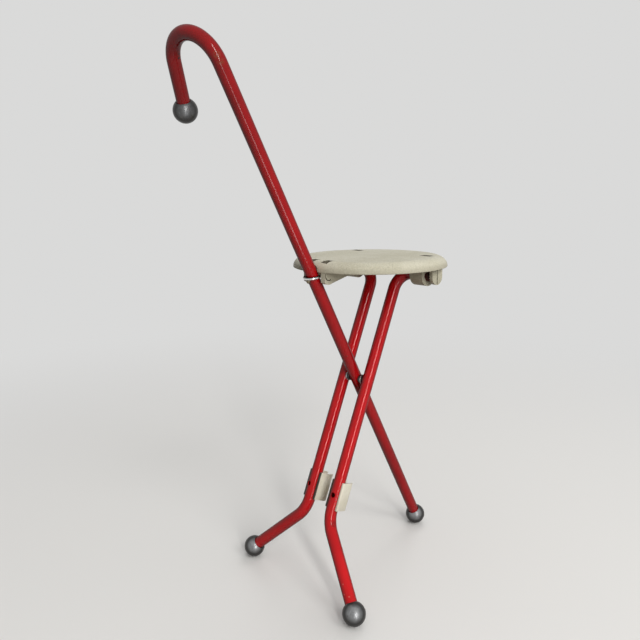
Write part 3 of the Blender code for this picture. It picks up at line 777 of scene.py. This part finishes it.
def zinc_steel(name):
    """Zinc-plated steel, dulled in patches."""
    shade = Shade(name)
    bloom = shade.span(shade.noise(420.0, 4.0, 0.6), 0.36, 0.68)
    colour = shade.blend(bloom, (0.24, 0.237, 0.228), (0.46, 0.46, 0.45))
    rough = shade.span(shade.noise(700.0, 3.0), 0.3, 0.7, 0.24, 0.44)
    normal = shade.bump(shade.noise(1500.0, 2.0), 0.10, 0.0002)
    return shade.finish(colour, rough, normal, Metallic=1.0)


def dark_spacer(name):
    """Black plastic, rubbed grey in places."""
    shade = Shade(name)
    rub = shade.span(shade.noise(380.0, 4.0), 0.5, 0.75)
    colour = shade.blend(rub, (0.018, 0.018, 0.018), (0.075, 0.073, 0.070))
    rough = shade.span(rub, 0.0, 1.0, 0.36, 0.56)
    normal = shade.bump(shade.noise(1400.0, 2.0), 0.12, 0.0002)
    return shade.finish(colour, rough, normal)


def chrome_wire(name):
    """Bright plated wire with fine rub marks, tarnished in patches, and a painted dark reflection on its
    upper side.
    """
    shade = Shade(name)
    tarnish = shade.span(shade.noise(360.0, 4.0, 0.6), 0.45, 0.75)
    colour = shade.blend(tarnish, (0.80, 0.80, 0.79), (0.56, 0.545, 0.52))
    # Painted dark reflection: darker where the wire faces up
    colour = shade.blend(shade.span(shade.upward(), 0.05, 0.60), colour, (0.055, 0.045, 0.042))
    rough = shade.span(tarnish, 0.0, 1.0, 0.10, 0.26)
    normal = shade.bump(shade.noise(1500.0, 2.0), 0.06, 0.0002)
    return shade.finish(colour, rough, normal, Metallic=1.0)


def dull_rivet(name):
    """Dull brown-grey metal."""
    shade = Shade(name)
    age = shade.span(shade.noise(520.0, 4.0, 0.6), 0.35, 0.70)
    colour = shade.blend(age, (0.105, 0.080, 0.050), (0.240, 0.195, 0.135))
    rough = shade.span(age, 0.0, 1.0, 0.55, 0.38)
    normal = shade.bump(age, 0.2, 0.0003)
    return shade.finish(colour, rough, normal, Metallic=0.75)


# Pieces


def build_ball(node, body, centre, towards_tube, place, finish):
    """A ball with a blind socket, in which a tube's end sits."""
    socket = TUBE_RADIUS + SEAT_GAP
    lip_angle = acos((socket + BALL_LIP) / BALL_RADIUS)
    lip_height = BALL_RADIUS * sin(lip_angle)
    profile = arc((0.0, 0.0), (BALL_RADIUS, BALL_RADIUS), -pi / 2, lip_angle, BALL_ARC_STEPS)
    profile[0] = (0.0, -BALL_RADIUS)
    profile += [(socket + BALL_LIP / 3, lip_height - BALL_LIP / 3), (socket, lip_height - BALL_LIP)]
    profile += [(socket, -BALL_SOCKET), (0.0, -BALL_SOCKET)]
    shape = lathe(profile, BALL_STEPS)
    ball = add_piece(f"{node}_finish", shape, place @ aimed(centre, towards_tube), finish)
    dress(ball, node, body)


def cane_path():
    """Centre line of the cane from its foot to the end of its crook."""
    reach = Vector((-sin(CROOK_TURN), cos(CROOK_TURN), 0))
    runs = [(SHAFT_LENGTH + CANE_FOOT + TUBE_INSET, CROOK_RADIUS, CROOK_BEND),
            (CROOK_TAIL + TUBE_INSET, 0.0, 0.0)]
    return bent_path(-UP * (CANE_FOOT + TUBE_INSET), UP, reach, runs)


def build_cane(paint, handle_shaded_finish, ball_finish, rivet_finish):
    """Cane tube with its crook, its two balls and the rivet that stops the bail."""
    path = cane_path()
    cane = add_piece("cane_tube_finish", tube(path), CANE_FRAME, paint)
    side = Vector((0, 2 * TUBE_RADIUS, 0))
    combine(cane, rod(PIN_RADIUS + RUNNING_GAP, -side, side, RING_STEPS), CANE_FRAME)
    rest = UP * (BOW_HEIGHT - WIRE_RADIUS - STOP_RIVET_RADIUS - SEAT_GAP)
    outward = Vector((-1, 0, 0))
    hole = rod(STOP_RIVET_SHANK + SEAT_GAP, rest, rest + outward * 2 * TUBE_RADIUS, SCREW_STEPS)
    combine(cane, hole, CANE_FRAME)
    dress(cane, "cane_tube", "cane")

    tail = (path[-1] - path[-2]).normalized()
    build_ball("handle_ball", "cane", path[-1] - tail * TUBE_INSET, -tail, CANE_FRAME, handle_shaded_finish)
    build_ball("cane_foot_ball", "cane", UP * -CANE_FOOT, UP, CANE_FRAME, ball_finish)

    head = TUBE_RADIUS + SEAT_GAP
    shape = headed(STOP_RIVET_SHANK, TUBE_RADIUS - TUBE_WALL, STOP_RIVET_RADIUS, head,
                   head + STOP_RIVET_HEIGHT, STOP_RIVET_DOME)
    rivet = add_piece("bail_stop_finish", shape, CANE_FRAME @ aimed(rest, outward), rivet_finish)
    dress(rivet, "bail_stop", "cane")


def jaw_from_leg(side):
    """From a leg's axis to the middle of its clip's jaw."""
    beside = LEG_SPREAD - (TUBE_RADIUS + CLIP_PASS_GAP + CLIP_RADIUS)
    return Vector((CLIP_OFFSET, -side * beside, 0))


def leg_path(side):
    """Centre line of a leg from its foot to the end of its stub axle."""
    out = Vector((0, side, 0))
    rising = UP * cos(KNEE_BEND) - out * sin(KNEE_BEND)
    inward = -out * cos(KNEE_BEND) - UP * sin(KNEE_BEND)
    knee = out * LEG_SPREAD - UP * KNEE_DROP
    knee_tangent = KNEE_RADIUS * tan(KNEE_BEND / 2)
    straight = KNEE_DROP + LEG_TOP - knee_tangent - STUB_BEND_RADIUS
    stub = STUB_END - LEG_SPREAD - STUB_BEND_RADIUS
    shank = SHANK_LENGTH + TUBE_INSET
    runs = [(shank - knee_tangent, KNEE_RADIUS, -KNEE_BEND), (straight, STUB_BEND_RADIUS, -pi / 2),
            (stub, 0.0, 0.0)]
    return bent_path(knee - rising * shank, rising, inward, runs)


def build_leg(name, side, paint, ball_finish):
    """One leg tube with its stub axle, knee and foot ball."""
    path = leg_path(side)
    leg = add_piece(f"{name}_leg_finish", tube(path), LEGS_FRAME, paint)
    axis = Vector((0, side * LEG_SPREAD, 0))
    combine(leg, rod(PIN_RADIUS + SEAT_GAP, axis, Vector(), RING_STEPS), LEGS_FRAME)
    screw = axis - UP * CLIP_DROP
    across = jaw_from_leg(side).normalized() * 2 * TUBE_RADIUS
    combine(leg, rod(SCREW_RADIUS + SEAT_GAP, screw, screw + across, SCREW_STEPS), LEGS_FRAME)
    combine(leg, rod(ACCESS_HOLE_RADIUS, screw, screw - across, SCREW_STEPS), LEGS_FRAME)
    dress(leg, f"{name}_leg", "legs")
    rising = (path[1] - path[0]).normalized()
    foot = path[0] + rising * TUBE_INSET
    build_ball(f"{name}_foot_ball", "legs", foot, rising, LEGS_FRAME, ball_finish)


def on_tube(path, place, along, facing):
    """The place on a tube's skin, a length along its centre line, that faces a way in the row frame."""
    points = [place @ point for point in path]
    for start, end in zip(points, points[1:]):
        step = (end - start).length
        if along <= step:
            break
        along -= step
    heading = (end - start).normalized()
    outward = facing - heading * facing.dot(heading)
    return start + heading * along + outward.normalized() * TUBE_RADIUS


def cane_marks():
    """Two dark nicks inside the crook and a rubbed place on its bend."""
    path = cane_path()[::-1]
    bend = CROOK_TAIL + CROOK_RADIUS * CROOK_BEND
    nicks = [on_tube(path, CANE_FRAME, back, NICK_FACING) for back in NICKS_BACK]
    scuffs = [on_tube(path, CANE_FRAME, bend - ahead, SCUFF_FACING) for ahead in SCUFFS_AHEAD]
    return ([(place, NICK_RADIUS, NICK_COLOUR, False) for place in nicks]
            + [(place, SCUFF_RADIUS, SCUFF_COLOUR, True) for place in scuffs])


def leg_marks():
    """Painted shade on the bare ends of the stub axles, a chip at one knee and pale flecks above its ball.
    """
    middle = STUB_END - (STUB_END - BARREL_OUTER) / 2
    # Painted shade where the stub axles run bare between barrel and stop
    marks = [(LEGS_FRAME @ Vector((0, side * middle, LEG_TOP)), STUB_SHADE_RADIUS, STUB_SHADE_COLOUR, False)
             for side in SIDES.values()]
    path = leg_path(SIDES["right"])
    chip = on_tube(path, LEGS_FRAME, SHANK_LENGTH - KNEE_CHIP_BELOW, CHIP_FACING)
    marks.append((chip, SCUFF_RADIUS, CHIP_COLOUR, True))
    for above, turn in FLECKS:
        fleck = on_tube(path, LEGS_FRAME, BALL_RADIUS + above, CAMERA_NEAR + CAMERA_RIGHT * turn)
        marks.append((fleck, FLECK_RADIUS, FLECK_COLOUR, False))
    return marks


def build_ring(node, inner, outer, start, end, finish):
    """A flat ring round the pivot pin, its outer edges rounded."""
    low, high = sorted((start, end))
    profile = [(inner, low)]
    corner = (RING_EDGE, RING_EDGE)
    middle = outer - RING_EDGE
    profile += arc((middle, low + RING_EDGE), corner, -pi / 2, 0.0, RING_EDGE_STEPS)
    profile += arc((middle, high - RING_EDGE), corner, 0.0, pi / 2, RING_EDGE_STEPS)
    profile += [(inner, high)]
    turned = LEGS_FRAME @ Matrix.Rotation(-pi / 2, 4, "X")
    ring = add_piece(f"{node}_finish", lathe(profile, RING_STEPS, closed=True), turned, finish)
    dress(ring, node, "legs")


def build_pivot(steel, dark):
    """A spacer and a washer on each side of the cane; the pin is the CAD model's own."""
    bore = PIN_RADIUS + SEAT_GAP
    near = TUBE_RADIUS + SEAT_GAP
    joint = near + SPACER_LENGTH
    far = LEG_SPREAD - TUBE_RADIUS - SEAT_GAP
    for name, side in SIDES.items():
        build_ring(f"{name}_spacer", bore, SPACER_RADIUS, side * near, side * joint, dark)
        build_ring(f"{name}_washer", bore, WASHER_RADIUS, side * (joint + SEAT_GAP),
                   side * far, steel)
    pin = frame["nodes"]["pivot_pin"]
    pin.data.materials.clear()
    pin.data.materials.append(steel)


def clip_section(jaw, saddle_radius, seat_radius):
    """Section of a clip round its leg's axis: a slit jaw, a saddle and sides along their tangents."""
    bore = CLIP_RADIUS - CLIP_WALL
    apart = jaw.length
    heading = atan2(jaw.y, jaw.x)
    tangent = acos((saddle_radius - CLIP_RADIUS) / apart)
    lip = asin(CLIP_SLIT / 2 / CLIP_RADIUS)
    bore_lip = asin(CLIP_SLIT / 2 / bore)
    tip = acos(saddle_radius * cos(SADDLE_WRAP) / seat_radius)
    facing_jaw = acos((apart ** 2 + saddle_radius ** 2 - bore ** 2) / (2 * apart * saddle_radius))
    facing_leg = pi - acos((apart ** 2 + bore ** 2 - saddle_radius ** 2) / (2 * apart * bore))
    leg = (0.0, 0.0)
    middle = (jaw.x, jaw.y)
    turns = [(middle, CLIP_RADIUS, lip, heading + tangent),
             (leg, saddle_radius, heading + tangent, SADDLE_WRAP),
             (leg, seat_radius, tip, -tip),
             (leg, saddle_radius, -SADDLE_WRAP, heading - tangent),
             (middle, CLIP_RADIUS, heading - tangent, -lip),
             (middle, bore, -bore_lip, heading - facing_leg),
             (leg, saddle_radius, heading - facing_jaw, heading + facing_jaw),
             (middle, bore, heading + facing_leg, bore_lip)]
    outline = []
    for centre, radius, start, end in turns:
        steps = max(2, round(abs(end - start) / tau * CLIP_STEPS))
        outline += arc(centre, (radius, radius), start, end, steps)
    return outline


def build_clip(name, side, plastic, steel):
    """Slit jaw on a saddle that grips round the leg, and the screw that holds it there."""
    leg = Vector((0, side * LEG_SPREAD, -CLIP_DROP))
    jaw = jaw_from_leg(side)
    seat_radius = TUBE_RADIUS + SEAT_GAP
    section = clip_section(jaw, seat_radius + SADDLE_WALL, seat_radius)
    base = leg - Vector((0, 0, CLIP_LENGTH / 2))
    shape = extrude([base + Vector((x, y, 0)) for x, y in section], (0.0, 0.0, CLIP_LENGTH))
    bmesh.ops.remove_doubles(shape, verts=shape.verts, dist=WELD)
    clip = add_piece(f"{name}_clip_finish", shape, LEGS_FRAME, plastic)
    ease_edges(clip, CLIP_EDGE)
    dress(clip, f"{name}_clip", "legs")

    under_head = sqrt((TUBE_RADIUS - TUBE_WALL) ** 2 - SCREW_HEAD_RADIUS ** 2) - SEAT_GAP
    crown = under_head - SCREW_HEAD_HEIGHT
    shape = headed(SCREW_RADIUS, seat_radius + SCREW_BITE, SCREW_HEAD_RADIUS, under_head, crown, SCREW_DOME)
    place = LEGS_FRAME @ aimed(leg, jaw.normalized())
    screw = add_piece(f"{name}_clip_screw_finish", shape, place, steel)
    arm = SCREW_HEAD_RADIUS * SCREW_CROSS_REACH
    for long, wide in ((arm, SCREW_CROSS / 2), (SCREW_CROSS / 2, arm)):
        corner = Vector((long, wide, SCREW_CROSS_DEPTH))
        combine(screw, box(UP * crown - corner, UP * crown + corner), place)
    dress(screw, f"{name}_clip_screw", "legs")


def u_block(x, z, radius, one, other):
    """A block that hangs from the shell, with upright sides and a round bottom along Y at x, z."""
    bottom = arc((x, z), (radius, radius), -pi, 0.0, CLIP_STEPS // 2)
    return prism([(x - radius, RIM_TOP)] + bottom + [(x + radius, RIM_TOP)], one, other)


def seat_shell_profile():
    """Section of the seat's shell from its middle to its rim and back underneath."""
    rim_corner = RIM_RISE + RIM_EDGE
    shoulder = arc((FLAT_RADIUS, rim_corner), (SHOULDER, RIM_TOP - rim_corner), pi / 2, 0.0,
                   SHOULDER_STEPS)
    edge = arc((SEAT_RADIUS - RIM_EDGE, rim_corner), (RIM_EDGE, RIM_EDGE), 0.0, -pi / 2, RIM_EDGE_STEPS)
    hollow = (SHOULDER - SHELL_WALL, SEAT_DEPTH - SHELL_WALL)
    inner = arc((FLAT_RADIUS, RIM_RISE), hollow, 0.0, pi / 2, SHOULDER_STEPS)
    return [(0.0, RIM_TOP)] + shoulder + edge[1:] + inner + [(0.0, RIM_TOP - SHELL_WALL)]


def seat_envelope_profile():
    """The space that the seat's underside pieces may fill: below the shell's mid-thickness."""
    sunk = SHELL_WALL / 2
    floor = -2 * BARREL_RADIUS
    reach = SEAT_RADIUS - RIM_EDGE
    skin = arc((FLAT_RADIUS, RIM_RISE), (SHOULDER - sunk, SEAT_DEPTH - sunk), 0.0, pi / 2, SHOULDER_STEPS)
    return [(0.0, floor), (reach, floor), (reach, RIM_RISE)] + skin + [(0.0, RIM_TOP - sunk)]


def rail_outline():
    """Side view of a rail: it leaves the lug's round bottom and tapers up into the shell."""
    left = -LUG_BACK + LUG_RADIUS * sin(RAIL_SLOPE)
    low = LUG_RISE - LUG_RADIUS * cos(RAIL_SLOPE)
    right = left + (RIM_TOP - low) / tan(RAIL_SLOPE)
    return [(left, RIM_TOP), (left, low), (right, RIM_TOP)]


def build_seat(plastic):
    """The seat moulding, drawn about the legs' hinge axis."""
    centred = SEAT_FRAME @ Matrix.Translation((-SEAT_BACK, 0, 0))
    seat = add_piece("seat_finish", lathe(seat_shell_profile(), SEAT_STEPS), centred, plastic)
    under = add_piece("under", u_block(0, 0, BARREL_RADIUS, BARREL_INNER, BARREL_OUTER), SEAT_FRAME)
    hanging = [u_block(0, 0, BARREL_RADIUS, -BARREL_INNER, -BARREL_OUTER)]
    rail_inner = (LUG_INNER + LUG_OUTER - RAIL_THICKNESS) / 2
    rail_outer = rail_inner + RAIL_THICKNESS
    for side in SIDES.values():
        hanging.append(u_block(0, -STOP_DROP, STOP_RADIUS, side * STOP_INNER, side * STOP_OUTER))
        hanging.append(u_block(-LUG_BACK, LUG_RISE, LUG_RADIUS, side * LUG_INNER, side * LUG_OUTER))
        hanging.append(prism(rail_outline(), side * rail_inner, side * rail_outer))
    for shape in hanging:
        combine(under, shape, SEAT_FRAME, "UNION")
    combine(under, lathe(seat_envelope_profile(), SEAT_STEPS), centred, "INTERSECT")
    joined = bmesh.new()
    joined.from_mesh(under.data)
    bpy.data.objects.remove(under)
    combine(seat, joined, Matrix.Identity(4), "UNION")

    across = Vector((0, STOP_INNER - SEAT_GAP, 0))
    combine(seat, rod(TUBE_RADIUS + RUNNING_GAP, -across, across, CLIP_STEPS), SEAT_FRAME)
    for side in SIDES.values():
        near, far = sorted((side * STOP_INNER, side * 2 * STOP_OUTER))
        slit = box((-STOP_SLIT / 2, near, -2 * BARREL_RADIUS), (STOP_SLIT / 2, far, RIM_RISE))
        combine(seat, slit, SEAT_FRAME)
    cut_lugs(seat)
    cut_notch(seat)
    for low, high in pocket_boxes():
        combine(seat, box(low, high), SEAT_FRAME)
    ease_edges(seat, SEAT_EDGE)
    dress(seat, "seat", "seat")


def cut_lugs(seat):
    """Blind holes for the bail's ends, and the curved groove in each lug's outer face."""
    hinge = Vector((-LUG_BACK, 0, LUG_RISE))
    across = Vector((0, LUG_OUTER - LUG_FACE_WALL, 0))
    hole = rod(WIRE_RADIUS + RUNNING_GAP, hinge - across, hinge + across, SCREW_STEPS)
    combine(seat, hole, SEAT_FRAME)
    centre = (-LUG_BACK, LUG_RISE)
    outer = arc(centre, (LUG_GROOVE_OUTER,) * 2, LUG_GROOVE_START, LUG_GROOVE_END, SCREW_STEPS)
    inner = arc(centre, (LUG_GROOVE_INNER,) * 2, LUG_GROOVE_END, LUG_GROOVE_START, SCREW_STEPS)
    bottom = LUG_OUTER - LUG_GROOVE_DEPTH
    top = LUG_OUTER + LUG_GROOVE_DEPTH
    for side in SIDES.values():
        combine(seat, prism(outer + inner, side * bottom, side * top), SEAT_FRAME)


def cut_notch(seat):
    """The notch in the rim that the cane passes through."""
    up = Vector((-sin(CANE_TILT), 0, cos(CANE_TILT)))
    pivot = Vector((-LEG_TOP * sin(LEG_TILT), 0, -LEG_TOP * cos(LEG_TILT)))
    middle = pivot + up * BOW_HEIGHT
    reach = up * 4 * SEAT_DEPTH
    notch = rod(TUBE_RADIUS + NOTCH_GAP, middle - reach, middle + reach, CLIP_STEPS)
    combine(seat, notch, SEAT_FRAME)


def pocket_boxes():
    """Corners of the pockets in the top, just inside the lugs and above the barrels."""
    lug_middle = (LUG_INNER + LUG_OUTER) / 2
    barrel_middle = (BARREL_INNER + BARREL_OUTER) / 2
    spots = [(LUG_POCKET_SHIFT - LUG_BACK, lug_middle - LUG_POCKET_SHIFT, LUG_POCKET_LENGTH, POCKET_WIDTH),
             (BARREL_POCKET_SHIFT, barrel_middle, POCKET_WIDTH, BARREL_POCKET_LENGTH)]
    corners = []
    for x, y, length, width in spots:
        for side in SIDES.values():
            low = Vector((x - length / 2, side * y - width / 2, RIM_TOP - POCKET_DEPTH))
            high = Vector((x + length / 2, side * y + width / 2, RIM_TOP + POCKET_DEPTH))
            corners.append((low, high))
    return corners


def build_bail(chrome):
    """The wire bail, drawn about its hinge with its bow along the frame's -X."""
    along = Vector((-1, 0, 0))
    inward = Vector((0, -1, 0))
    pin = LUG_OUTER - LUG_GROOVE_DEPTH - BAIL_ARM_SIDE - BAIL_BEND_RADIUS
    arm = BAIL_REACH - BAIL_ARM_SIDE - BAIL_BEND_RADIUS
    quarter = pi / 2
    runs = [(pin, BAIL_BEND_RADIUS, quarter), (arm, BAIL_ARM_SIDE, -pi),
            (arm, BAIL_BEND_RADIUS, quarter), (pin, 0.0, 0.0)]
    start = inward * -(BAIL_ARM_SIDE + BAIL_BEND_RADIUS + pin)
    shape = wire(bent_path(start, inward, along, runs))
    bail = add_piece("bail_finish", shape, BAIL_FRAME, chrome)
    dress(bail, "bail", "bail")


# Stage


def build_world():
    """Pale where it is seen, and for the rest a soft light that grows upwards and to the camera's right."""
    world = bpy.data.worlds.new("studio")
    bpy.context.scene.world = world
    world.use_nodes = True
    nodes = Nodes(world.node_tree)
    nodes.tree.nodes.clear()
    where = nodes.add("TexCoord").outputs["Generated"]
    rise = nodes.vector("DOT_PRODUCT", where, (CAMERA_RIGHT * AMBIENT_LEAN + UP).normalized())
    sky = nodes.blend(nodes.span(rise, AMBIENT_START, 1.0), AMBIENT_LOW, AMBIENT_HIGH)
    lit = nodes.coloured("Background", sky)
    shown = nodes.coloured("Background", BACKDROP_COLOUR)
    output = nodes.add("OutputWorld")
    nodes.put(output.inputs["Surface"], nodes.pale_when_seen(shown, lit))


def floor_material():
    """Plain pale floor that keeps shadows near the object and fades into the backdrop further off."""
    material = bpy.data.materials.new("floor_pale")
    material.use_nodes = True
    nodes = Nodes(material.node_tree)
    nodes.tree.nodes.clear()
    where = nodes.add("TexCoord").outputs["Object"]
    fade = nodes.span(nodes.vector("LENGTH", where), FADE_START, FADE_END)
    near = nodes.coloured("BsdfDiffuse", FLOOR_COLOUR)
    far = nodes.coloured("Emission", BACKDROP_COLOUR)
    bounce = nodes.coloured("BsdfDiffuse", FLOOR_BOUNCE)
    output = nodes.add("OutputMaterial")
    nodes.put(output.inputs["Surface"], nodes.pale_when_seen(nodes.mix(fade, near, far), bounce))
    return material


def build_floor():
    """A wide round floor at the stool's feet."""
    shape = bmesh.new()
    bmesh.ops.create_circle(shape, cap_ends=True, radius=FLOOR_RADIUS, segments=FLOOR_STEPS)
    floor = add_piece("floor", shape, Matrix.Identity(4), floor_material())


def add_lamp(name, place, width, height, power, colour):
    """A soft rectangular lamp that shines along its own -Z."""
    lamp = bpy.data.lights.new(name, "AREA")
    lamp.shape = "RECTANGLE"
    lamp.size = width
    lamp.size_y = height
    lamp.energy = power
    lamp.color = colour
    holder = bpy.data.objects.new(name, lamp)
    holder.matrix_world = place
    bpy.context.collection.objects.link(holder)
    return holder


def build_strip():
    """A narrow light on the floor, where the upper cane mirrors the floor to the camera."""
    along = STRIP_NEAR - STRIP_FAR
    turn = along.to_track_quat("Y", "Z").to_matrix().to_4x4() @ Matrix.Rotation(pi, 4, "Y")
    place = Matrix.Translation((STRIP_NEAR + STRIP_FAR) / 2) @ turn
    strip = add_lamp("strip", place, STRIP_WIDTH, along.length, STRIP_POWER, STRIP_COLOUR)
    strip.visible_camera = False
    strip.visible_diffuse = False


def build_lamps():
    """A tall key like a window, and broad lights to the side and behind, all aimed at the stool."""
    to_camera = CAMERA_PLACE - STAGE_CENTRE
    for name, (heading, rise, distance, width, height, power, colour, mirrored) in LAMPS.items():
        away = atan2(to_camera.y, to_camera.x) + radians(heading)
        tilt = radians(rise)
        out = Vector((cos(away) * cos(tilt), sin(away) * cos(tilt), sin(tilt)))
        turn = (-out).to_track_quat("-Z", "Y").to_matrix().to_4x4()
        place = Matrix.Translation(STAGE_CENTRE + out * distance) @ turn
        lamp = add_lamp(name, place, width, height, power, colour)
        lamp.visible_glossy = mirrored


def build_camera():
    """A camera at the photograph's viewpoint."""
    level = cos(CAMERA_DROP)
    ahead = Vector((sin(CAMERA_HEADING) * level, cos(CAMERA_HEADING) * level, -sin(CAMERA_DROP)))
    above = CAMERA_RIGHT.cross(ahead)
    right = CAMERA_RIGHT * cos(CAMERA_ROLL) + above * sin(CAMERA_ROLL)
    up = above * cos(CAMERA_ROLL) - CAMERA_RIGHT * sin(CAMERA_ROLL)
    lens = bpy.data.cameras.new("camera")
    lens.lens = CAMERA_LENS
    lens.sensor_width = CAMERA_SENSOR
    lens.shift_x = CAMERA_SHIFT
    lens.clip_start = CAMERA_CLIP
    camera = bpy.data.objects.new("camera", lens)
    turn = Matrix((right, up, -ahead)).transposed()
    camera.matrix_world = Matrix.Translation(CAMERA_PLACE) @ turn.to_4x4()
    bpy.context.collection.objects.link(camera)
    bpy.context.scene.camera = camera


def main():
    """Dress the stool and set up its stage."""
    ball_finish = grey_ball("ball_satin_grey", FOOT_GREYS)
    # The handle ball: the feet's satin grey in darker greys, as painted shade
    handle_shaded_finish = grey_ball("handle_satin_grey_shaded", HANDLE_SHADED_GREYS)
    steel = zinc_steel("steel_zinc")
    # The cane's enamel is the legs' enamel in darker reds, as painted shade
    cane_shaded_paint = red_enamel("cane_red_enamel_shaded", CANE_SHADED_REDS, CANE_TILT, cane_marks())
    build_cane(cane_shaded_paint, handle_shaded_finish, ball_finish, dull_rivet("rivet_dull"))
    leg_paint = red_enamel("leg_red_enamel", LEG_REDS, -LEG_TILT, leg_marks())
    plastic = clip_plastic("clip_cream")
    for name, side in SIDES.items():
        build_leg(name, side, leg_paint, ball_finish)
        build_clip(name, side, plastic, steel)
    build_pivot(steel, dark_spacer("spacer_black"))
    build_seat(seat_moulding("seat_greige"))
    build_bail(chrome_wire("wire_chrome"))
    build_world()
    build_floor()
    build_lamps()
    build_strip()
    build_camera()
    bpy.context.scene.view_settings.view_transform = "Standard"


main()
